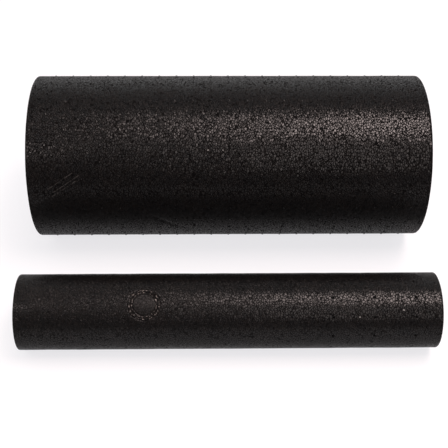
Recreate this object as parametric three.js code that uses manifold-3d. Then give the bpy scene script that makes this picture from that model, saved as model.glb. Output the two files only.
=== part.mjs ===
// A set of two massage rollers, moulded in black expanded polypropylene bead foam (EPP).
//
// The large roller is a thick-walled tube, and the slim roller is a solid rod of the same length
// that stores inside its bore. Both lie on the ground with their axes along X, and the slim one
// lies in front, towards -Y. Each roller is one moulding, so the set has two pieces.
//
// Millimetres, +Z up. The origin is on the ground, under the middle of the set.

import * as THREE from 'three';
import { mergeVertices } from 'three/addons/utils/BufferGeometryUtils.js';
import Module from 'manifold-3d';

// ---- Driving dimensions ------------------------------------------------------------------------

const ROLLER_LENGTH = 330; // both rollers
const LARGE_DIAMETER = 140;
const SLIM_DIAMETER = 60;
const STORING_CLEARANCE = 2; // how much wider the large roller's bore is than the slim roller
const AXIS_SPACING = 144; // from one roller's axis to the other's, along Y
const SLIM_OFFSET = -2; // how far along X the slim roller lies from the large one

const LARGE_EDGE_RADIUS = 1.5; // round of the outer edges at the ends
const SLIM_EDGE_RADIUS = 1;
const MOUTH_RADIUS = 3; // round where the bore meets the end faces

// The mark that the bead injector leaves: two shallow round grooves in the slim roller's side.
const MARK_FROM_MIDDLE = -65; // along X
const MARK_ELEVATION = 60; // degrees above the ground, seen from the front
const MARK_GROOVES = [
  { radius: 12.4, width: 1.2 },
  { radius: 8.8, width: 0.8 },
];
const GROOVE_DEPTH = 0.5;

const SIDES_AROUND = 96; // of each roller
const STEPS_PER_EDGE = 3; // of each rounded edge
const SIDES_AROUND_MARK = 48;

// ---- Values that follow ------------------------------------------------------------------------

const largeRadius = LARGE_DIAMETER / 2;
const slimRadius = SLIM_DIAMETER / 2;
const boreRadius = (SLIM_DIAMETER + STORING_CLEARANCE) / 2;
const halfLength = ROLLER_LENGTH / 2;

// The set is as deep as one radius, the spacing and the other radius, and the origin is halfway.
const setDepth = slimRadius + AXIS_SPACING + largeRadius;
const largeAxis = { y: setDepth / 2 - largeRadius, z: largeRadius };
const slimAxis = { y: -(setDepth / 2 - slimRadius), z: slimRadius };

const wasm = await Module();
wasm.setup();

// ---- Helpers -----------------------------------------------------------------------------------

// Points of a quarter circle about (radius, along), which turns left from startDegrees.
function quarterRound(radius, along, round, startDegrees) {
  const points = [];
  for (let step = 0; step <= STEPS_PER_EDGE; step += 1) {
    const angle = THREE.MathUtils.degToRad(startDegrees + (90 * step) / STEPS_PER_EDGE);
    const outward = radius + round * Math.cos(angle);
    points.push(new THREE.Vector2(outward, along + round * Math.sin(angle)));
  }
  return points;
}

// Turns a profile of (radius, place along the axis) about the X axis.
function turnAboutX(profile, sides) {
  const geometry = new THREE.LatheGeometry(profile, sides);
  geometry.rotateZ(-Math.PI / 2);
  return geometry;
}

// A closed geometry as a manifold-3d solid. Slivers with two corners in one place are left out.
function toSolid(geometry) {
  const bare = geometry.clone();
  bare.deleteAttribute('normal');
  bare.deleteAttribute('uv');
  const merged = mergeVertices(bare);
  const corners = merged.index.array;
  const triangles = [];
  for (let i = 0; i < corners.length; i += 3) {
    const [a, b, c] = corners.slice(i, i + 3);
    if (a !== b && b !== c && c !== a) triangles.push(a, b, c);
  }
  return new wasm.Manifold(new wasm.Mesh({
    numProp: 3,
    vertProperties: new Float32Array(merged.attributes.position.array),
    triVerts: new Uint32Array(triangles),
  }));
}

// A manifold-3d solid as a geometry.
function toGeometry(solid) {
  const mesh = solid.getMesh();
  const geometry = new THREE.BufferGeometry();
  geometry.setAttribute('position', new THREE.BufferAttribute(mesh.vertProperties, mesh.numProp));
  geometry.setIndex(new THREE.BufferAttribute(mesh.triVerts, 1));
  geometry.computeVertexNormals();
  return geometry;
}

// The rounded outer edges of a roller, from its -X end to its +X end.
function outerEdges(radius, round) {
  return [
    ...quarterRound(radius - round, -halfLength + round, round, -90),
    ...quarterRound(radius - round, halfLength - round, round, 0),
  ];
}

// ---- The two mouldings -------------------------------------------------------------------------

// A thick-walled tube: the profile runs along the outside and comes back along the bore.
function largeRollerGeometry() {
  const mouthMiddle = boreRadius + MOUTH_RADIUS;
  const profile = [
    ...outerEdges(largeRadius, LARGE_EDGE_RADIUS),
    ...quarterRound(mouthMiddle, halfLength - MOUTH_RADIUS, MOUTH_RADIUS, 90),
    ...quarterRound(mouthMiddle, -halfLength + MOUTH_RADIUS, MOUTH_RADIUS, 180),
  ];
  profile.push(profile[0].clone());
  return turnAboutX(profile, SIDES_AROUND);
}

// A solid rod with rounded edges.
function rodGeometry(radius, round) {
  const profile = [
    new THREE.Vector2(0, -halfLength),
    ...outerEdges(radius, round),
    new THREE.Vector2(0, halfLength),
  ];
  return turnAboutX(profile, SIDES_AROUND);
}

// One groove of the injector's mark: a short tube that stands on the rod's side, less the rod's
// core, so that the groove has the same depth all the way round.
function grooveCutter({ radius, width }) {
  const inner = radius - width / 2;
  const outer = radius + width / 2;
  const low = slimRadius - 2 * outer / 3;
  const high = slimRadius + width;
  const corners = [[inner, low], [outer, low], [outer, high], [inner, high], [inner, low]];
  const profile = corners.map(([across, up]) => new THREE.Vector2(across, up));
  const tube = new THREE.LatheGeometry(profile, SIDES_AROUND_MARK);
  tube.rotateX(THREE.MathUtils.degToRad(180 - MARK_ELEVATION));
  tube.translate(MARK_FROM_MIDDLE, 0, 0);
  const core = rodGeometry(slimRadius - GROOVE_DEPTH, SLIM_EDGE_RADIUS);
  return toSolid(tube).subtract(toSolid(core));
}

// The rod with the injector's mark cut into its side.
function slimRollerGeometry() {
  let solid = toSolid(rodGeometry(slimRadius, SLIM_EDGE_RADIUS));
  for (const groove of MARK_GROOVES) solid = solid.subtract(grooveCutter(groove));
  return toGeometry(solid);
}

// ---- The set -----------------------------------------------------------------------------------

function moulding(name, geometry, colour) {
  const material = new THREE.MeshStandardMaterial({ color: colour, roughness: 0.55, metalness: 0 });
  const mesh = new THREE.Mesh(geometry, material);
  mesh.name = name;
  return mesh;
}

const largeRoller = moulding('large_roller', largeRollerGeometry(), 0x2b2828);
largeRoller.position.set(-SLIM_OFFSET / 2, largeAxis.y, largeAxis.z);

const slimRoller = moulding('slim_roller', slimRollerGeometry(), 0x262424);
slimRoller.position.set(SLIM_OFFSET / 2, slimAxis.y, slimAxis.z);

const rollerSet = new THREE.Group();
rollerSet.add(largeRoller, slimRoller);

export default rollerSet;
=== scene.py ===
"""A set of two massage rollers in black bead foam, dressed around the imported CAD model.

The large roller is a thick-walled tube and the slim one a solid rod. Both are single steam-moulded
pieces of expanded polypropylene, so their looks are those of the moulding: a skin of fused beads,
rows of pips and pits that the mould's vents leave, the round mark of the bead injector, and a few
scratches. Lengths are in metres and angles in degrees, and +Z is up.
"""

import logging
import math
from collections.abc import Callable
from dataclasses import dataclass, field
from enum import Enum

import bmesh
import bpy
from mathutils import Matrix, Vector


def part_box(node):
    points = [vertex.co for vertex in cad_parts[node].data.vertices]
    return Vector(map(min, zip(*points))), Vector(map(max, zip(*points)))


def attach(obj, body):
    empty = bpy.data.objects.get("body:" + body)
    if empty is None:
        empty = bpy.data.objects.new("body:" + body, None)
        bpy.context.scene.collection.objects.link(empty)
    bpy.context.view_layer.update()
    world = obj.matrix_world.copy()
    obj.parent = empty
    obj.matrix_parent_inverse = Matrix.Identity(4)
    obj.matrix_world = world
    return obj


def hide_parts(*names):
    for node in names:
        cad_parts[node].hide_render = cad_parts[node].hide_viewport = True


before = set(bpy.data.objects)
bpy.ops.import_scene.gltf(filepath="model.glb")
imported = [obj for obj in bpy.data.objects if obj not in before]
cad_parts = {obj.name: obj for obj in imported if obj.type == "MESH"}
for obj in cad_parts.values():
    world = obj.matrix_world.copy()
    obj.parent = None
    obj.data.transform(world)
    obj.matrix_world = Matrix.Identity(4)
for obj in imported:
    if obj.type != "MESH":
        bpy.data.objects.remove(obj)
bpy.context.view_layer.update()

MM = 0.001
GROUND_CLEARANCE = 0.5 * MM  # how high a vent's pip is at least
MERGE_DISTANCE = 0.01 * MM
LOG = logging.getLogger("foam_rollers")

Number = "Signal | float"
Colour = tuple[float, float, float, float]
ProfilePoint = tuple[float, float]


# ---- Shader maths ----


class Signal:
    """A value that varies over a surface: an output socket of a node in a tree."""

    def __init__(self, tree: "Tree", socket: bpy.types.NodeSocket) -> None:
        """Wraps an output socket of a tree that new nodes are added to."""
        self.tree = tree
        self.socket = socket

    def __add__(self, other: Number) -> "Signal":
        """This plus other."""
        return self.tree.math("ADD", self, other)

    def __radd__(self, other: float) -> "Signal":
        """Other plus this."""
        return self.tree.math("ADD", other, self)

    def __sub__(self, other: Number) -> "Signal":
        """This minus other."""
        return self.tree.math("SUBTRACT", self, other)

    def __rsub__(self, other: float) -> "Signal":
        """Other minus this."""
        return self.tree.math("SUBTRACT", other, self)

    def __mul__(self, other: Number) -> "Signal":
        """This times other."""
        return self.tree.math("MULTIPLY", self, other)

    def __rmul__(self, other: float) -> "Signal":
        """Other times this."""
        return self.tree.math("MULTIPLY", other, self)

    def __abs__(self) -> "Signal":
        """This without its sign."""
        return self.tree.math("ABSOLUTE", self)


class Tree:
    """A node tree of a material or of the world, built by expressions."""

    def __init__(self, nodes: bpy.types.NodeTree) -> None:
        """Empties a tree, to build in it."""
        self.nodes = nodes
        nodes.nodes.clear()

    def node(
        self, kind: str, settings: dict | None = None, inputs: dict | None = None
    ) -> bpy.types.Node:
        """Adds a node.

        Args:
            kind: The node's type.
            settings: The node's own settings, by name, which are set first.
            inputs: Values or Signals for its input sockets, by name or number.

        Returns:
            The new node.
        """
        made = self.nodes.nodes.new(kind)
        for name, value in (settings or {}).items():
            setattr(made, name, value)
        for name, value in (inputs or {}).items():
            if isinstance(value, Signal):
                self.nodes.links.new(value.socket, made.inputs[name])
            else:
                made.inputs[name].default_value = value
        return made

    def read(
        self,
        kind: str,
        output: str | int,
        settings: dict | None = None,
        inputs: dict | None = None,
    ) -> Signal:
        """Adds a node as node() does, and gives its output of this name or number."""
        return Signal(self, self.node(kind, settings, inputs).outputs[output])

    def math(self, operation: str, *values: Number) -> Signal:
        """Gives the result of a Math node on one to three values."""
        inputs = dict(enumerate(values))
        return self.read("ShaderNodeMath", 0, {"operation": operation}, inputs)

    def vector(self, operation: str, output: str, *values: object) -> Signal:
        """Gives the result of a Vector Math node on one or two vectors."""
        inputs = dict(enumerate(values))
        return self.read("ShaderNodeVectorMath", output, {"operation": operation}, inputs)

    def step(self, value: Signal, low: Number, high: Number) -> Signal:
        """Rises smoothly from 0 where value is low to 1 where it is high."""
        inputs = {"Value": value, "From Min": low, "From Max": high}
        return self.read("ShaderNodeMapRange", "Result", {"interpolation_type": "SMOOTHSTEP"}, inputs)

    def mix(self, share: Number, first: object, second: object) -> Signal:
        """Mixes two colours: first where share is 0, second where it is 1."""
        colour_inputs = {0: share, 6: first, 7: second}
        return self.read("ShaderNodeMix", 2, {"data_type": "RGBA"}, colour_inputs)

    def nothing(self) -> Signal:
        """Gives 0 everywhere."""
        return self.math("ADD", 0.0, 0.0)

    def noise(self, place: Signal, size: float, detail: float) -> Signal:
        """Soft noise from 0 to 1 whose lumps are about size across."""
        inputs = {"Vector": place, "Scale": 1 / size, "Detail": detail}
        return self.read("ShaderNodeTexNoise", 0, None, inputs)


# ---- Marks on a roller's side ----


@dataclass(frozen=True)
class SidePoint:
    """A point on a roller's side.

    Attributes:
        along: Distance from the roller's middle, along X.
        elevation: Degrees above the ground as seen from the front, which is -Y.
    """

    along: float
    elevation: float


@dataclass(frozen=True)
class Stroke:
    """A straight mark on a roller's side.

    Attributes:
        start: One end.
        end: The other end.
        width: Its full width.
    """

    start: SidePoint
    end: SidePoint
    width: float


@dataclass(frozen=True)
class RingMark:
    """The round mark that a bead injector or an ejector leaves.

    Attributes:
        rings: (radius, width) of each groove, from the outermost inwards.
        depth: The grooves' depth.
        ridges: (radius, width) of each scuffed ridge between them, from the outermost inwards.
    """

    rings: tuple[tuple[float, float], ...]
    depth: float
    ridges: tuple[tuple[float, float], ...] = ()

    @property
    def reach(self) -> float:
        """The radius of everything that the mark touches."""
        return max(radius + width for radius, width in self.rings)

    def weight(self, distance: float) -> float:
        """Gives how deep the mark is.

        Args:
            distance: The distance from its centre.

        Returns:
            The share of the full depth, from 0 to 1.
        """
        deepest = 0.0
        for radius, width in self.rings:
            off = abs(distance - radius) / width
            deepest = max(deepest, math.cos(math.pi * min(off, 0.5)))
        return deepest


# ---- Finishes ----


@dataclass(frozen=True)
class Shadowing:
    """How much of the skin's gloss is hidden, by the slant that it is seen at.

    A slant is 0 where the skin is seen straight on and 1 where it is seen edge on. The values are
    set for the look, and aren't measured properties of the foam.

    Attributes:
        share: The share that is hidden at most.
        slants: The slants where the hiding starts and where it is complete.
        rim_share: The share that shows again near the edge.
        rim_slants: The slants where that starts and where it is complete.
    """

    share: float
    slants: tuple[float, float]
    rim_share: float = 0.0
    rim_slants: tuple[float, float] = (0.40, 0.65)

    def hidden(self, tree: Tree, slant: Signal) -> Signal:
        """Gives the hidden share of the gloss at a slant."""
        back_again = tree.step(slant, *self.rim_slants) * self.rim_share
        return tree.step(slant, *self.slants) * self.share - back_again


@dataclass(frozen=True)
class BeadFoamFinish:
    """Black bead foam: fused beads under a thin, slightly shiny moulded skin.

    Attributes:
        name: The material's name.
        bead: A bead's usual width around the roller.
        squeeze: How many times narrower it is along the roller.
        shade: The colour of most beads.
        warm_shade: The colour of the paler, browner beads.
        fleck: The colour of scuffed skin, as in scratches.
        ridge_glint_colour: The colour of the pale flecks that are painted as glints on the ridges of
            the injector's mark.
        painted_crease_shade: The painted shade deep between beads, which darkens the creases.
        painted_vent_shade: The painted shade at the marks that the mould's vents leave.
        glint_colour: The colour of the pale specks that are painted as glints of light.
        mottle_size: The width of the patches of paler beads.
        grain_size: The width of the fine wrinkles of the skin.
        ridge_glint_size: The width of the glints that are painted on the injector's mark.
        crease: How deep the creases between beads are.
        lean: The steepest slope of a bead's face to a side of its own, as rise over run.
        wrinkle: How deep the fine wrinkles of the skin are.
        roughness: The roughness of the skin, from its shiniest to its dullest.
        sheen: The shader's specular level, which is 0.5 for bare plastic.
        below: The shadowing on the lower part.
        above: The shadowing on top.
        shoulder: How far a bead's rounded shoulder reaches in from its edge, in beads.
        top: How far above the axis, in radii, the top begins and where it is complete.
        gap: The distances from a bead's edge, in beads, where that is complete and where it ends.
        gap_shade: The share of the gloss that is lost deep between two beads.
    """

    name: str
    bead: float
    squeeze: float
    lean: float
    roughness: tuple[float, float]
    below: Shadowing
    above: Shadowing
    shade: Colour = (0.0040, 0.0036, 0.0039, 1.0)
    warm_shade: Colour = (0.0074, 0.0061, 0.0058, 1.0)
    fleck: Colour = (0.062, 0.057, 0.054, 1.0)
    ridge_glint_colour: Colour = (0.16, 0.14, 0.13, 1.0)
    painted_crease_shade: Colour = (0.003, 0.003, 0.003, 1.0)
    painted_vent_shade: Colour = (0.002, 0.002, 0.002, 1.0)
    glint_colour: Colour = (0.30, 0.29, 0.28, 1.0)
    mottle_size: float = 22 * MM
    grain_size: float = 1.1 * MM
    ridge_glint_size: float = 1.3 * MM
    crease: float = 0.14 * MM
    wrinkle: float = 0.05 * MM
    sheen: float = 0.37
    shoulder: float = 0.15
    top: tuple[float, float] = (0.60, 0.95)
    gap: tuple[float, float] = (0.05, 0.20)
    gap_shade: float = 0.97

    def material(self, roller: "Roller") -> bpy.types.Material:
        """Makes the material.

        Args:
            roller: The roller that it dresses, whose scratches and marks it shows.

        Returns:
            The new material.
        """
        made = bpy.data.materials.new(self.name)
        made.use_nodes = True
        tree = Tree(made.node_tree)
        place = tree.read("ShaderNodeTexCoord", "Object")
        squeezed = tree.vector("MULTIPLY", "Vector", place, (self.squeeze, 1.0, 1.0))
        scale = {"Vector": squeezed, "Scale": 1 / self.bead}
        cells = tree.node("ShaderNodeTexVoronoi", None, scale)
        to_edge = tree.read(
            "ShaderNodeTexVoronoi", "Distance", {"feature": "DISTANCE_TO_EDGE"}, scale
        )
        own = Signal(tree, cells.outputs["Color"])
        centre = Signal(tree, cells.outputs["Position"])
        bead_tone = tree.vector("DOT_PRODUCT", "Value", own, (0.0, 1.0, 0.0))
        bead_shine = tree.vector("DOT_PRODUCT", "Value", own, (0.0, 0.0, 1.0))
        mottle = tree.noise(place, self.mottle_size, 3)
        grain = tree.noise(place, self.grain_size, 2)
        disc, rim, grooves = self.injector_zones(tree, place, roller)
        scratched = self.scratches(tree, place, roller)
        vents = self.vents(tree, place, roller)

        lean = tree.vector("SUBTRACT", "Vector", own, (0.5, 0.5, 0.5))
        within = tree.vector("SUBTRACT", "Vector", squeezed, centre)
        leaning = tree.vector("DOT_PRODUCT", "Value", within, lean)
        body = tree.step(to_edge, 0.0, self.shoulder)
        height = body * self.crease + leaning * self.lean + grain * self.wrinkle
        height = height * (1 - disc * 0.6 + rim * 0.8)
        bump = tree.read(
            "ShaderNodeBump", "Normal", None, {"Distance": 1.0, "Height": height}
        )

        tone = tree.step(bead_tone * 0.6 + mottle * 0.7, 0.35, 1.05)
        colour = tree.mix(tone, self.shade, self.warm_shade)
        # Painted shade: the skin is darkened in the creases between beads.
        colour = tree.mix((1 - body) * 0.55, colour, self.painted_crease_shade)
        # Painted highlight: pale flecks on the mark's ridges stand in for glints.
        ridge_glints = tree.step(tree.noise(place, self.ridge_glint_size, 1), 0.55, 0.61)
        colour = tree.mix(rim * ridge_glints, colour, self.ridge_glint_colour)
        colour = tree.mix(scratched, colour, self.fleck)
        # Painted shade: the skin is darkened at the vents' pits and pips.
        colour = tree.mix(vents * 0.8, colour, self.painted_vent_shade)
        # Painted highlight: pale specks stand in for glints of light.
        colour = tree.mix(self.glints(tree, place, roller), colour, self.glint_colour)
        low, high = self.roughness
        dullness = bead_shine * 0.5 + mottle * 0.3 + (1 - body) * 0.2
        roughness = low + dullness * (high - low) + disc * 0.08

        glossy, matt = (
            tree.read(
                "ShaderNodeBsdfPrincipled",
                "BSDF",
                None,
                {
                    "Base Color": colour,
                    "Roughness": roughness,
                    "Normal": bump,
                    "IOR": 1.45,
                    "Specular IOR Level": level,
                },
            )
            for level in (self.sheen, 0.0)
        )
        slant = tree.read("ShaderNodeLayerWeight", "Facing", None, {"Blend": 0.5})
        raised = tree.vector("DOT_PRODUCT", "Value", place, (0.0, 0.0, 1 / roller.radius))
        top = tree.step(raised - roller.middle.z / roller.radius, *self.top)
        below, above = (side.hidden(tree, slant) for side in (self.below, self.above))
        hidden = below + (above - below) * top
        gaps = (1 - tree.step(to_edge, *self.gap)) * self.gap_shade
        for dull in (gaps, grooves * 0.9, vents * 0.9):
            hidden = tree.math("MAXIMUM", hidden, dull)
        shader = tree.read("ShaderNodeMixShader", 0, None, {0: hidden, 1: glossy, 2: matt})
        tree.node("ShaderNodeOutputMaterial", None, {"Surface": shader})
        return made

    def injector_zones(
        self, tree: Tree, place: Signal, roller: "Roller"
    ) -> tuple[Signal, Signal, Signal]:
        """Splits the injector's mark into its zones.

        Args:
            tree: The material's tree.
            place: The place on the surface.
            roller: The roller that the material dresses.

        Returns:
            Three signals that are 1 in their zone: the inner disc, the ridges around it, and the
            grooves that bound them.
        """
        if roller.injector is None:
            none = tree.nothing()
            return none, none, none
        centre = roller.on_side(roller.injector_place)
        away = tree.vector("DISTANCE", "Value", place, tuple(centre))
        away = away + (tree.noise(place, 2 * MM, 2) - 0.5) * (2 * MM)
        last, last_width = roller.injector.ridges[-1]
        disc = 1 - tree.step(away, last - last_width, last)

        def circles(rings: tuple[tuple[float, float], ...]) -> Signal:
            """Draws rings around the mark's middle.

            Args:
                rings: The (radius, width) of each.

            Returns:
                A signal that is 1 on the rings and 0 elsewhere.
            """
            total = tree.nothing()
            for radius, width in rings:
                near = 1 - tree.step(abs(away - radius), width * 0.2, width * 0.6)
                total = tree.math("MAXIMUM", total, near)
            return total

        filled = tree.step(tree.noise(place, 1.6 * MM, 1), 0.40, 0.50)
        grooves = circles(roller.injector.rings) * (0.3 + filled * 0.7)
        return disc, circles(roller.injector.ridges), grooves

    def on_skin(self, tree: Tree, place: Signal, roller: "Roller") -> tuple[Signal, Signal]:
        """Unrolls a roller's side.

        Args:
            tree: The material's tree.
            place: The place on the surface.
            roller: The roller.

        Returns:
            The distance along the roller, and the distance around it from the front.
        """
        parts = tree.node("ShaderNodeSeparateXYZ", None, {"Vector": place})
        x, y, z = (Signal(tree, parts.outputs[axis]) for axis in "XYZ")
        angle = tree.math("ARCTAN2", z - roller.middle.z, roller.middle.y - y)
        return x - roller.middle.x, angle * roller.radius

    def scratches(self, tree: Tree, place: Signal, roller: "Roller") -> Signal:
        """Finds the scratches.

        Args:
            tree: The material's tree.
            place: The place on the surface.
            roller: The roller that the material dresses.

        Returns:
            How much a scratch shows, from 0 to 1.
        """
        along, across = self.on_skin(tree, place, roller)
        broken = tree.step(tree.noise(place, 2.2 * MM, 2), 0.42, 0.56)
        total = tree.nothing()
        for stroke in roller.scratches:
            start, end = (
                Vector((p.along, math.radians(p.elevation) * roller.radius))
                for p in (stroke.start, stroke.end)
            )
            run = (end - start).normalized()
            forward = (along - start.x) * run.x + (across - start.y) * run.y
            aside = (across - start.y) * run.x - (along - start.x) * run.y
            far = abs(forward - (end - start).length / 2) - (end - start).length / 2
            inside = 1 - tree.step(far, -2 * MM, 0.0)
            near = 1 - tree.step(abs(aside), stroke.width * 0.2, stroke.width)
            total = tree.math("MAXIMUM", total, inside * near)
        return total * broken * 0.8

    def vents(self, tree: Tree, place: Signal, roller: "Roller") -> Signal:
        """Finds the marks of the mould's vents, where shade is painted and gloss is lost.

        Args:
            tree: The material's tree.
            place: The place on the surface.
            roller: The roller that the material dresses.

        Returns:
            How strong the painted shade and the lost gloss of a vent's mark are here, from 0 to 1.
        """
        along, across = self.on_skin(tree, place, roller)
        half_pitch = roller.vent_pitch / 2
        gap = 2 * math.pi * roller.radius / roller.vent_rows
        first = math.radians(roller.first_row) * roller.radius
        half_run = roller.vents_along * half_pitch
        off_along = tree.math("WRAP", along + half_run, half_pitch * 2, 0.0) - half_pitch
        off_across = tree.math("WRAP", across - first + gap / 2, gap, 0.0) - gap / 2
        away = tree.math("SQRT", off_along * off_along + off_across * off_across)
        inside = 1 - tree.step(abs(along), half_run - 1 * MM, half_run)
        clear = tree.step(along, roller.clear_from - half_pitch, roller.clear_from) * 0.7 + 0.3
        mark = 1 - tree.step(away, roller.vent_radius * 0.6, roller.vent_radius)
        return mark * inside * clear * roller.vent_darkness

    def glints(self, tree: Tree, place: Signal, roller: "Roller") -> Signal:
        """Finds the pale specks that are painted as glints of light.

        Args:
            tree: The material's tree.
            place: The place on the surface.
            roller: The roller that the material dresses.

        Returns:
            A signal that is 1 on the painted glints and 0 elsewhere.
        """
        total = tree.nothing()
        for glint, radius in roller.glints:
            away = tree.vector("DISTANCE", "Value", place, tuple(roller.on_side(glint)))
            total = tree.math("MAXIMUM", total, 1 - tree.step(away, radius * 0.5, radius))
        return total


@dataclass(frozen=True)
class LightTableFinish:
    """The plain, matt white plastic of a table that glows softly. Its front is painted darker and
    glows less, as painted shade that keeps its reflection in the rollers dark.

    Attributes:
        name: The material's name.
        shade: Its colour under other light.
        lit_shade: The colour of its own light.
        shaded_front_colour: Its colour at the front, darkened as painted shade.
        shaded_front_glow: The colour of its own light at the front, dimmed as painted shade.
        glow: How brightly it shines by itself.
        fade: Where the front begins and where it ends, along Y.
    """

    name: str
    shade: Colour = (0.24, 0.24, 0.24, 1.0)
    lit_shade: Colour = (0.98, 0.97, 1.0, 1.0)
    shaded_front_colour: Colour = (0.20, 0.20, 0.20, 1.0)
    shaded_front_glow: Colour = (0.30, 0.30, 0.30, 1.0)
    glow: float = 0.76
    fade: tuple[float, float] = (-0.36, -0.21)

    def material(self) -> bpy.types.Material:
        """Makes the material.

        Returns:
            The new material.
        """
        made = bpy.data.materials.new(self.name)
        made.use_nodes = True
        tree = Tree(made.node_tree)
        place = tree.read("ShaderNodeTexCoord", "Object")
        back = tree.vector("DOT_PRODUCT", "Value", place, (0.0, 1.0, 0.0))
        unshaded = tree.step(back, *self.fade)
        # Painted shade: the table is darker and glows less towards its front.
        shader = tree.read(
            "ShaderNodeBsdfPrincipled",
            "BSDF",
            None,
            {
                "Base Color": tree.mix(unshaded, self.shaded_front_colour, self.shade),
                "Roughness": 0.9,
                "Specular IOR Level": 0.1,
                "Emission Color": tree.mix(unshaded, self.shaded_front_glow, self.lit_shade),
                "Emission Strength": self.glow,
            },
        )
        tree.node("ShaderNodeOutputMaterial", None, {"Surface": shader})
        return made


# ---- Modelling ----


class Noise(Enum):
    """The patterns that the skin's relief is made of."""

    SWELLS = "ORIGINAL_PERLIN"
    LUMPS = "BLENDER_ORIGINAL"


class Workpiece:
    """One mesh object, shaped with Blender's own operators."""

    def __init__(self, name: str, start: Vector) -> None:
        """Starts a mesh as a single point, in edit mode.

        Args:
            name: The object's name.
            start: Where the point is.
        """
        bpy.ops.object.select_all(action="DESELECT")
        bpy.ops.mesh.primitive_plane_add(size=MM, location=start)
        self.body = bpy.context.active_object
        self.body.name = self.body.data.name = name
        bpy.ops.object.transform_apply(location=True, rotation=True, scale=True)
        bpy.ops.object.mode_set(mode="EDIT")
        bpy.ops.mesh.select_mode(type="VERT")
        bpy.ops.mesh.select_all(action="SELECT")
        bpy.ops.mesh.merge(type="CENTER")

    def draw(self, points: list[Vector]) -> None:
        """Draws on from the selected point.

        Args:
            points: The selected point's place, and then each further point in turn.
        """
        pen = points[0]
        for point in points[1:]:
            bpy.ops.mesh.extrude_region_move(TRANSFORM_OT_translate={"value": point - pen})
            pen = point

    def spin(self, centre: Vector, steps: int) -> None:
        """Turns the drawn outline all the way about a line along X, and closes it.

        Args:
            centre: A point on the line.
            steps: The number of steps in the full turn.
        """
        bpy.ops.mesh.select_all(action="SELECT")
        bpy.ops.mesh.spin(
            steps=steps, angle=2 * math.pi, center=centre, axis=(1, 0, 0), use_auto_merge=True
        )
        bpy.ops.mesh.select_all(action="SELECT")
        bpy.ops.mesh.remove_doubles(threshold=MERGE_DISTANCE)
        bpy.ops.mesh.normals_make_consistent(inside=False)
        bpy.ops.mesh.select_all(action="DESELECT")

    def pick(self, test: Callable[[Vector], bool]) -> None:
        """Selects vertices, in edit mode.

        Args:
            test: Says of a place whether a vertex there is selected.
        """
        bpy.ops.mesh.select_all(action="DESELECT")
        shape = bmesh.from_edit_mesh(self.body.data)
        for vertex in shape.verts:
            vertex.select = test(vertex.co)
        shape.select_flush_mode()
        bmesh.update_edit_mesh(self.body.data)

    def refine(self, test: Callable[[Vector], bool], cuts: int) -> None:
        """Subdivides some of the faces, in edit mode.

        Args:
            test: Says of a place whether a corner there counts. A face needs all of its corners.
            cuts: The number of cuts across each edge.
        """
        self.pick(test)
        bpy.ops.mesh.subdivide(number_cuts=cuts)
        bpy.ops.mesh.select_all(action="DESELECT")

    def knob(self, test: Callable[[Vector], bool], radius: float, height: float) -> None:
        """Raises a small stub at each of some vertices, in edit mode.

        Args:
            test: Says of a place whether a vertex there gets a stub.
            radius: How far the stub reaches along the edges.
            height: How far it stands out.
        """
        self.pick(test)
        bpy.ops.mesh.bevel(offset=radius, segments=1, affect="VERTICES")
        bpy.ops.mesh.extrude_region_shrink_fatten(
            TRANSFORM_OT_shrink_fatten={"value": height}
        )
        bpy.ops.mesh.select_all(action="DESELECT")

    def finish_editing(self) -> None:
        """Leaves edit mode."""
        bpy.ops.object.mode_set(mode="OBJECT")

    def press(self, weight: Callable[[Vector], float], depth: float) -> None:
        """Presses the surface in, in object mode.

        Args:
            weight: Gives the share of the full depth at a place, from 0 to 1.
            depth: The full depth; a negative one raises the surface.
        """
        group = self.body.vertex_groups.new(name="pressed")
        for vertex in self.body.data.vertices:
            share = weight(vertex.co)
            if share > 0:
                group.add([vertex.index], share, "REPLACE")
        name = group.name
        self.displace(name, strength=-depth, mid_level=0.0)
        self.body.vertex_groups.remove(self.body.vertex_groups[name])

    def roughen(self, noise: Noise, size: float, depth: float, group: str) -> None:
        """Gives the surface an uneven relief below its own level, in object mode.

        Args:
            noise: The relief's pattern.
            size: The width of its lumps.
            depth: From its highest to its lowest point.
            group: The vertex group that it covers.
        """
        pattern = bpy.data.textures.new(f"{self.body.name}_{noise.name.lower()}", "CLOUDS")
        pattern.noise_basis = noise.value
        pattern.noise_scale = size
        pattern.noise_depth = 1
        self.displace(group, strength=depth, mid_level=1.0, texture=pattern)
        bpy.data.textures.remove(pattern)

    def displace(
        self,
        group: str,
        strength: float,
        mid_level: float,
        texture: bpy.types.Texture | None = None,
    ) -> None:
        """Adds a Displace modifier and applies it.

        Args:
            group: The vertex group that it moves.
            strength: The modifier's strength.
            mid_level: The level of the texture that leaves the surface where it is.
            texture: The relief's texture, or none for an even move.
        """
        bpy.context.view_layer.objects.active = self.body
        bpy.ops.object.modifier_add(type="DISPLACE")
        modifier = self.body.modifiers[-1]
        modifier.vertex_group = group
        modifier.strength = strength
        modifier.mid_level = mid_level
        modifier.texture = texture
        modifier.texture_coords = "LOCAL"
        bpy.ops.object.modifier_apply(modifier=modifier.name)

    def cover(self, name: str, test: Callable[[Vector], bool]) -> str:
        """Makes a vertex group.

        Args:
            name: Its name.
            test: Says of a place whether a vertex there is in the group.

        Returns:
            The name that the group got.
        """
        group = self.body.vertex_groups.new(name=name)
        chosen = [v.index for v in self.body.data.vertices if test(v.co)]
        group.add(chosen, 1.0, "REPLACE")
        return group.name


# ---- Rollers ----


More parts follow.
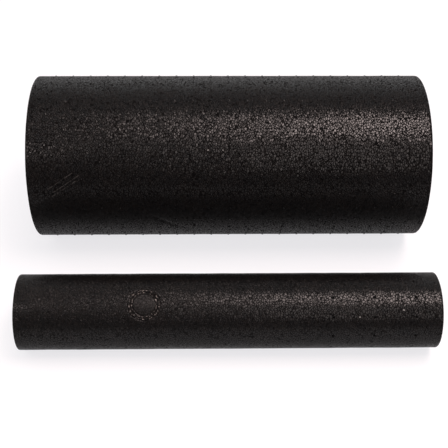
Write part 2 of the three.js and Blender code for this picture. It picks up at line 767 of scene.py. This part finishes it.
@dataclass
class Roller:
    """What the two rollers share. Its size and place are read from its CAD node.

    Attributes:
        node: The CAD node's name, which is also its body's name.
        steps_around: How many steps the skin has around the roller.
        step_along: The length of a step of the skin along the roller.
        step_across_end: The usual width of a ring of the end faces.
        edge_round: The round of the outer edges.
        vent_pitch: The distance between vents along the roller.
        vents_along: How many vents a row has.
        vent_rows: How many rows of vents go round the roller.
        first_row: The elevation of one of the rows.
        vent_radius: The radius of the mark that a vent leaves.
        clear_from: From here on towards +X the vents' marks are clear; before it they are faint.
        vent_darkness: How strong the painted shade and the lost gloss at the vents' marks are, from 0
            to 1.
        swells: The width and depth of the skin's broad swells.
        lumps: The width and depth of its small lumps.
        injector: The injector's mark, if it is on the side.
        injector_place: Where that mark is.
        scratches: The scratches in the skin.
        glints: The place and radius of each pale speck that is painted as a glint of light.
        middle: The middle of the roller.
        radius: Its radius.
        half_length: Half its length.
    """

    node: str
    steps_around: int
    step_along: float
    step_across_end: float
    edge_round: float
    vent_pitch: float
    vents_along: int
    vent_rows: int
    first_row: float
    vent_radius: float
    clear_from: float
    vent_darkness: float
    swells: tuple[float, float]
    lumps: tuple[float, float]
    injector: RingMark | None = None
    injector_place: SidePoint = SidePoint(0.0, 0.0)
    scratches: tuple[Stroke, ...] = ()
    glints: tuple[tuple[SidePoint, float], ...] = ()
    middle: Vector = field(init=False)
    radius: float = field(init=False)
    half_length: float = field(init=False)

    def __post_init__(self) -> None:
        """Reads the size and place from the CAD node."""
        low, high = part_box(self.node)
        self.middle = (low + high) / 2
        self.radius = (high.z - low.z) / 2
        self.half_length = (high.x - low.x) / 2

    # Places on the roller.

    def on_side(self, point: SidePoint) -> Vector:
        """Finds a point on the side.

        Args:
            point: The point, by its distance along the roller and its elevation.

        Returns:
            Its place in space.
        """
        angle = math.radians(point.elevation)
        outward = Vector((0.0, -math.cos(angle), math.sin(angle)))
        return self.middle + Vector((point.along, 0.0, 0.0)) + outward * self.radius

    def elevation(self, place: Vector) -> float:
        """Gives the elevation in degrees of a place, as seen from the roller's axis."""
        return math.degrees(math.atan2(place.z - self.middle.z, self.middle.y - place.y))

    def from_axis(self, place: Vector) -> float:
        """Gives a place's distance from the roller's axis."""
        return math.hypot(place.y - self.middle.y, place.z - self.middle.z)

    def off_side(self, place: Vector, point: SidePoint) -> tuple[float, float]:
        """Gives how far a place is from a point on the side, along the roller and around it."""
        turn = (self.elevation(place) - point.elevation + 180) % 360 - 180
        return place.x - self.middle.x - point.along, math.radians(turn) * self.radius

    def is_side(self, place: Vector) -> bool:
        """Says whether a place is on the outer side, clear of the rounded edges."""
        clear = self.half_length - self.edge_round - 0.5 * self.step_along
        return abs(place.x - self.middle.x) < clear and self.from_axis(place) > 0.9 * self.radius

    def vent_distance(self, place: Vector) -> float:
        """Gives how far the nearest vent is.

        Args:
            place: A place on the side.

        Returns:
            The distance from there, measured along the skin.
        """
        along = place.x - self.middle.x + (self.vents_along - 1) / 2 * self.vent_pitch
        column = min(max(round(along / self.vent_pitch), 0), self.vents_along - 1)
        row = (self.elevation(place) - self.first_row) / (360 / self.vent_rows)
        gap = 2 * math.pi * self.radius / self.vent_rows
        return math.hypot(along - column * self.vent_pitch, (row - round(row)) * gap)

    def is_vent(self, place: Vector) -> bool:
        """Says whether a vertex is where a vent of the mould was, clear of the ground."""
        near = self.vent_distance(place) < 0.3 * self.step_along
        return near and self.is_side(place) and place.z > GROUND_CLEARANCE

    # The outline that is spun.

    def at(self, along: float, radius: float) -> Vector:
        """Places a point of the outline.

        Args:
            along: Its distance along the roller.
            radius: Its distance from the axis.

        Returns:
            Its place in space.
        """
        angle = math.radians(self.first_row)
        outward = Vector((0.0, -math.cos(angle), math.sin(angle)))
        return self.middle + Vector((along, 0.0, 0.0)) + outward * radius

    def side_outline(self) -> list[ProfilePoint]:
        """Gives the straight outer side.

        Returns:
            Its points, from the -X end to the +X end.
        """
        reach = self.half_length - self.edge_round
        count = math.floor(reach / self.step_along - 0.3)
        steps = range(-count, count + 1)
        return [(step * self.step_along, self.radius) for step in steps]

    @staticmethod
    def corner(
        along: float, radius: float, round_: float, start: float, steps: int = 3
    ) -> list[ProfilePoint]:
        """Gives a quarter circle about (along, radius), from start degrees off straight outwards."""
        angles = [math.radians(start + 90 * step / steps) for step in range(steps + 1)]
        return [(along + round_ * math.sin(a), radius + round_ * math.cos(a)) for a in angles]

    @staticmethod
    def run(start: ProfilePoint, end: ProfilePoint, step: float) -> list[ProfilePoint]:
        """Divides a straight line.

        Args:
            start: One end.
            end: The other end.
            step: About how far apart the points are.

        Returns:
            Evenly spaced points, without the two ends.
        """
        count = max(1, round(math.dist(start, end) / step))
        shares = [index / count for index in range(1, count)]
        return [
            (start[0] + (end[0] - start[0]) * share, start[1] + (end[1] - start[1]) * share)
            for share in shares
        ]

    def outline(self) -> list[ProfilePoint]:
        """Gives the outline as (distance along, distance from the axis)."""
        raise NotImplementedError

    def blank(self) -> Workpiece:
        """Spins the outline into the plain moulding.

        Returns:
            The moulding, in edit mode.
        """
        points = [self.at(along, radius) for along, radius in self.outline()]
        piece = Workpiece(f"{self.node}_foam", points[0])
        piece.draw(points)
        piece.spin(self.middle, self.steps_around)
        return piece

    def weather(self, piece: Workpiece, skin: str) -> None:
        """Gives this vertex group of a piece the skin's swells and lumps."""
        for noise, (size, depth) in ((Noise.SWELLS, self.swells), (Noise.LUMPS, self.lumps)):
            piece.roughen(noise, size, depth, skin)

    def dress(self, piece: Workpiece, finish: BeadFoamFinish) -> bpy.types.Object:
        """Smooths a finished piece, gives it its finish and ties it to the frame.

        Args:
            piece: The finished piece.
            finish: The foam's finish.

        Returns:
            The piece's body.
        """
        body = piece.body
        bpy.ops.object.select_all(action="DESELECT")
        body.select_set(True)
        bpy.context.view_layer.objects.active = body
        bpy.ops.object.shade_smooth()
        body.vertex_groups.clear()
        body.data.materials.clear()
        body.data.materials.append(finish.material(self))
        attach(body, self.node)
        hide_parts(self.node)
        return body


@dataclass
class LargeRoller(Roller):
    """The hollow roller: a thick-walled tube with a rounded mouth at each end of its bore.

    Attributes:
        mouth_round: The round where the bore meets the end faces.
        bore_step: The length of a step along the bore.
        pip_height: How far the pips stand out that the vents leave.
        crease: A dent in the skin, low at the front.
        crease_depth: How deep it is.
        ejector: The round marks on the end faces.
        ejectors: How many of them each end has.
        bore: The bore's radius.
    """

    mouth_round: float = 3 * MM
    bore_step: float = 45 * MM
    pip_height: float = 0.38 * MM
    crease: Stroke = Stroke(SidePoint(-68 * MM, -3.5), SidePoint(-35 * MM, -23.0), 1.7 * MM)
    crease_depth: float = 0.5 * MM
    ejector: RingMark = RingMark(rings=((9 * MM, 1.3 * MM),), depth=0.4 * MM)
    ejectors: int = 2
    bore: float = field(init=False)

    def __post_init__(self) -> None:
        """Reads the size and place, and the bore's radius, from the CAD node."""
        super().__post_init__()
        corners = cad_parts[self.node].data.vertices
        self.bore = min(self.from_axis(corner.co) for corner in corners)

    def outline(self) -> list[ProfilePoint]:
        """Gives the outline, closed on itself.

        Returns:
            Its points: along the outside and back through the bore.
        """
        end, edge = self.half_length, self.edge_round
        mouth, quarter = self.mouth_round, 90
        outer_right = self.corner(end - edge, self.radius - edge, edge, 0)
        outer_left = self.corner(-end + edge, self.radius - edge, edge, -quarter)
        mouth_right = self.corner(end - mouth, self.bore + mouth, mouth, quarter)
        mouth_left = self.corner(-end + mouth, self.bore + mouth, mouth, 2 * quarter)
        closed = [
            *self.side_outline(),
            *outer_right,
            *self.run(outer_right[-1], mouth_right[0], self.step_across_end),
            *mouth_right,
            *self.run(mouth_right[-1], mouth_left[0], self.bore_step),
            *mouth_left,
            *self.run(mouth_left[-1], outer_left[0], self.step_across_end),
            *outer_left,
        ]
        return [*closed, closed[0]]

    def ejector_places(self) -> list[Vector]:
        """Gives the middles of the round marks on both end faces.

        Returns:
            Their places, halfway across the wall.
        """
        across = (self.bore + self.radius) / 2
        places = []
        for side in (-1, 1):
            for index in range(self.ejectors):
                angle = 2 * math.pi * index / self.ejectors
                offset = Vector((0.0, across * math.cos(angle), across * math.sin(angle)))
                places.append(self.middle + Vector((side * self.half_length, 0, 0)) + offset)
        return places

    def build(self, finish: BeadFoamFinish) -> bpy.types.Object:
        """Models and dresses the roller.

        Args:
            finish: The foam's finish.

        Returns:
            The finished piece.
        """
        piece = self.blank()
        places = self.ejector_places()
        reach = self.ejector.reach + self.step_across_end
        piece.refine(lambda place: any((place - p).length < reach for p in places), cuts=2)
        piece.finish_editing()

        skin = piece.cover("skin", lambda place: self.from_axis(place) > 1.02 * self.bore)
        self.weather(piece, skin)
        piece.press(
            lambda place: max(self.ejector.weight((place - p).length) for p in places),
            self.ejector.depth,
        )
        piece.press(self.crease_weight, self.crease_depth)

        bpy.context.view_layer.objects.active = piece.body
        bpy.ops.object.mode_set(mode="EDIT")
        piece.knob(self.is_vent, self.vent_radius, self.pip_height)
        piece.finish_editing()
        return self.dress(piece, finish)

    def crease_weight(self, place: Vector) -> float:
        """Gives how deep the dent is.

        Args:
            place: A place on the roller.

        Returns:
            The share of the full depth, from 0 to 1.
        """
        if not self.is_side(place):
            return 0.0
        start = Vector(self.off_side(place, self.crease.start))
        end = Vector(self.off_side(place, self.crease.end))
        run = start - end
        share = min(max(start.dot(run) / run.length_squared, 0.0), 1.0)
        aside = (start - run * share).length / self.crease.width
        fade = math.sin(math.pi * min(max(share, 0.08), 0.92))
        return fade * max(0.0, 1 - aside * aside)


@dataclass
class SlimRoller(Roller):
    """The solid roller, with the bead injector's round mark in its side.

    Attributes:
        pit_depth: How deep the pits are that the vents leave.
        faint_share: The share of that depth where the marks are faint.
    """

    pit_depth: float = 0.8 * MM
    faint_share: float = 0.4

    def outline(self) -> list[ProfilePoint]:
        """Gives the outline.

        Returns:
            Its points, from the middle of the -X end to the middle of the +X end.
        """
        end, edge = self.half_length, self.edge_round
        left = self.corner(-end + edge, self.radius - edge, edge, -90)
        right = self.corner(end - edge, self.radius - edge, edge, 0)
        return [
            (-end, 0.0),
            *self.run((-end, 0.0), left[0], self.step_across_end),
            *left,
            *self.side_outline(),
            *right,
            *self.run(right[-1], (end, 0.0), self.step_across_end),
            (end, 0.0),
        ]

    def mark_distance(self, place: Vector) -> float:
        """Gives a place's distance from the injector's mark, measured along the skin."""
        return math.hypot(*self.off_side(place, self.injector_place))

    def pit_weight(self, place: Vector) -> float:
        """Gives how deep the vents' pits are.

        Args:
            place: A place on the roller.

        Returns:
            The share of the full depth, from 0 to 1.
        """
        if not self.is_side(place):
            return 0.0
        clear = 1.0 if place.x - self.middle.x > self.clear_from else self.faint_share
        return clear * max(0.0, 1 - (self.vent_distance(place) / self.vent_radius) ** 2)

    def build(self, finish: BeadFoamFinish) -> bpy.types.Object:
        """Models and dresses the roller.

        Args:
            finish: The foam's finish.

        Returns:
            The finished piece.
        """
        piece = self.blank()
        reach = self.injector.reach + self.step_along
        pit_reach = self.vent_radius + self.step_along
        piece.refine(
            lambda place: self.is_side(place)
            and (self.mark_distance(place) < reach or self.vent_distance(place) < pit_reach),
            cuts=2,
        )
        piece.finish_editing()

        skin = piece.cover("skin", lambda place: True)
        self.weather(piece, skin)
        piece.press(
            lambda place: self.is_side(place) * self.injector.weight(self.mark_distance(place)),
            self.injector.depth,
        )
        piece.press(self.pit_weight, self.pit_depth)
        return self.dress(piece, finish)


# ---- Studio ----


@dataclass(frozen=True)
class Viewpoint:
    """Where the camera stands.

    Attributes:
        aim: The point on the ground that the lens's axis meets.
        distance: From the camera to that point.
        heading: Degrees that the view turns from +Y towards +X.
        pitch: Degrees that it looks down.
        roll: Degrees that its right side is raised.
        lens: Focal length, in millimetres on a 36 mm sensor.
        shift: How far the picture is moved up on the sensor, as a share of its width.
    """

    aim: Vector = Vector((-0.0016, 0.0698, 0.0))
    distance: float = 0.8253
    heading: float = 1.333
    pitch: float = 43.20
    roll: float = 0.719
    lens: float = 69.26
    shift: float = -0.0554

    def place(self) -> bpy.types.Object:
        """Makes the camera and makes it the scene's own.

        Returns:
            The camera.
        """
        turn = (
            Matrix.Rotation(-math.radians(self.heading), 3, "Z")
            @ Matrix.Rotation(math.radians(90 - self.pitch), 3, "X")
            @ Matrix.Rotation(math.radians(self.roll), 3, "Z")
        )
        bpy.ops.object.camera_add(
            location=self.aim + turn @ Vector((0.0, 0.0, self.distance)),
            rotation=turn.to_euler(),
        )
        camera = bpy.context.active_object
        camera.name = "camera"
        camera.data.lens = self.lens
        camera.data.shift_y = self.shift
        bpy.context.scene.camera = camera
        return camera


@dataclass(frozen=True)
class Softbox:
    """A lamp with a rectangular cloth, which faces a point.

    Attributes:
        name: The lamp's name.
        place: The middle of its cloth.
        size: The cloth's width and depth.
        radiance: How bright the cloth is.
        tint: The colour of its light.
        aim: The point that it faces.
    """

    name: str
    place: Vector
    size: tuple[float, float]
    radiance: float
    tint: tuple[float, float, float]
    aim: Vector

    def hang(self) -> bpy.types.Object:
        """Makes the lamp.

        Returns:
            The lamp.
        """
        facing = (self.aim - self.place).to_track_quat("-Z", "Y").to_euler()
        bpy.ops.object.light_add(type="AREA", location=self.place, rotation=facing)
        lamp = bpy.context.active_object
        lamp.name = self.name
        lamp.data.shape = "RECTANGLE"
        lamp.data.size, lamp.data.size_y = self.size
        lamp.data.energy = self.radiance * math.pi * self.size[0] * self.size[1]
        lamp.data.color = self.tint
        return lamp


@dataclass(frozen=True)
class Studio:
    """The glowing ground, the lamps and the pale surroundings.

    Attributes:
        ground_half: Half the ground's side.
        front: How bright the surroundings are at the front.
        back: How bright they are at the back.
        zenith: How bright they are overhead.
    """

    ground_half: float = 6.0
    front: float = 0.08
    back: float = 1.7
    zenith: float = 0.45

    def ground(self) -> bpy.types.Object:
        """Lays the ground.

        Returns:
            The ground.
        """
        bpy.ops.object.select_all(action="DESELECT")
        bpy.ops.mesh.primitive_plane_add(size=2 * self.ground_half)
        ground = bpy.context.active_object
        ground.name = "ground"
        ground.data.materials.append(LightTableFinish("white_table").material())
        return ground

    def surroundings(self) -> None:
        """Makes the world: pale at the back, and dimmer at the front and overhead."""
        world = bpy.data.worlds.new("surroundings")
        bpy.context.scene.world = world
        world.use_nodes = True
        tree = Tree(world.node_tree)
        direction = tree.read("ShaderNodeTexCoord", "Generated")
        up = tree.vector("DOT_PRODUCT", "Value", direction, (0.0, 0.0, 1.0))
        behind = tree.vector("DOT_PRODUCT", "Value", direction, (0.0, 1.0, 0.0))
        overhead = tree.step(up, 0.2, 0.9)
        level = self.front + tree.step(behind, -0.3, 0.7) * (self.back - self.front)
        level = level * (1 - overhead) + overhead * self.zenith
        shader = tree.read(
            "ShaderNodeBackground", "Background", None, {"Color": (1, 1, 1, 1), "Strength": level}
        )
        tree.node("ShaderNodeOutputWorld", None, {"Surface": shader})

    def set_up(self) -> None:
        """Builds the studio."""
        self.ground()
        self.surroundings()
        for softbox in SOFTBOXES:
            softbox.hang()
        bpy.context.scene.view_settings.view_transform = "Standard"


SOFTBOXES = (
    Softbox(
        "overhead_softbox",
        place=Vector((0.15, -0.255, 2.0)),
        size=(0.50, 1.23),
        radiance=5.9,
        tint=(1.0, 0.83, 0.79),
        aim=Vector((0.15, -0.255, 0.0)),
    ),
    Softbox(
        "right_softbox",
        place=Vector((0.70, -0.255, 2.0)),
        size=(0.58, 1.23),
        radiance=16.0,
        tint=(1.0, 0.83, 0.79),
        aim=Vector((0.70, -0.255, 0.0)),
    ),
    Softbox(
        "front_softbox",
        place=Vector((0.32, -1.26, 1.13)),
        size=(0.46, 1.1),
        radiance=2.5,
        tint=(1.0, 0.88, 0.84),
        aim=Vector((0.08, -0.03, 0.1)),
    ),
    Softbox(
        "left_softbox",
        place=Vector((-0.34, -0.275, 0.454)),
        size=(0.14, 0.11),
        radiance=6.4,
        tint=(1.0, 0.84, 0.80),
        aim=Vector((-0.15, -0.05, 0.06)),
    ),
)


# ---- The set ----

LARGE_VENT_PITCH = 15 * MM
LARGE_VENT_ROWS = 32
SLIM_VENT_PITCH = 32 * MM
SLIM_VENT_ROWS = 12

LARGE_SCRATCHES = tuple(
    Stroke(
        SidePoint((-146.5 + shift) * MM, 11.0 + lift),
        SidePoint((-122.5 + shift) * MM, 24.5 + lift),
        0.40 * MM,
    )
    for shift, lift in ((0, 0), (1.5, 3.2), (-2.5, 5.6))
)

LARGE_FOAM = BeadFoamFinish(
    "large_roller_bead_foam",
    bead=2.2 * MM,
    squeeze=1.3,
    lean=0.13,
    roughness=(0.20, 0.33),
    below=Shadowing(0.83, (0.05, 0.30), rim_share=0.26, rim_slants=(0.35, 0.60)),
    above=Shadowing(0.49, (0.07, 0.30)),
)
SLIM_FOAM = BeadFoamFinish(
    "slim_roller_bead_foam",
    bead=1.95 * MM,
    squeeze=1.15,
    crease=0.12 * MM,
    lean=0.10,
    roughness=(0.19, 0.31),
    sheen=0.27,
    below=Shadowing(0.45, (0.08, 0.50)),
    above=Shadowing(0.57, (0.08, 0.50)),
    gap=(0.04, 0.18),
    gap_shade=0.80,
)

# Pale specks that are painted as glints of light.
LARGE_GLINTS = (
    (SidePoint(-17.6 * MM, 43.8), 0.7 * MM),
    (SidePoint(-5.5 * MM, 43.8), 0.6 * MM),
)
SLIM_GLINTS = (
    (SidePoint(100.2 * MM, 40.3), 0.7 * MM),
    (SidePoint(134 * MM, 50.2), 0.8 * MM),
)


def report(piece: bpy.types.Object) -> None:
    """Logs a finished piece's name and number of triangles."""
    piece.data.calc_loop_triangles()
    LOG.info("%s: %d triangles", piece.name, len(piece.data.loop_triangles))


def unshaded() -> None:
    """Builds the two rollers and the studio around them."""
    logging.basicConfig(level=logging.INFO, format="%(message)s")
    Viewpoint().place()
    large = LargeRoller(
        node="large_roller",
        steps_around=LARGE_VENT_ROWS * 10,
        step_along=LARGE_VENT_PITCH / 10,
        step_across_end=2.4 * MM,
        edge_round=1.5 * MM,
        vent_pitch=LARGE_VENT_PITCH,
        vents_along=21,
        vent_rows=LARGE_VENT_ROWS,
        first_row=114.5,
        vent_radius=0.7 * MM,
        clear_from=-165 * MM,
        vent_darkness=0.35,
        swells=(24 * MM, 0.30 * MM),
        lumps=(3.2 * MM, 0.09 * MM),
        glints=LARGE_GLINTS,
        scratches=LARGE_SCRATCHES,
    )
    report(large.build(LARGE_FOAM))
    slim = SlimRoller(
        node="slim_roller",
        steps_around=SLIM_VENT_ROWS * 16,
        step_along=SLIM_VENT_PITCH / 30,
        step_across_end=1.8 * MM,
        edge_round=1 * MM,
        vent_pitch=SLIM_VENT_PITCH,
        vents_along=10,
        vent_rows=SLIM_VENT_ROWS,
        first_row=69.5,
        vent_radius=1.1 * MM,
        clear_from=75 * MM,
        vent_darkness=1.0,
        swells=(18 * MM, 0.35 * MM),
        lumps=(2.8 * MM, 0.08 * MM),
        glints=SLIM_GLINTS,
        injector=RingMark(
            rings=((12.5 * MM, 1.1 * MM), (10.5 * MM, 1.2 * MM), (8.6 * MM, 0.8 * MM)),
            depth=0.5 * MM,
            ridges=((11.6 * MM, 1.2 * MM), (9.5 * MM, 1.1 * MM)),
        ),
        injector_place=SidePoint(-64.8 * MM, 60.5),
    )
    report(slim.build(SLIM_FOAM))
    Studio().set_up()


if __name__ == "__main__":
    unshaded()
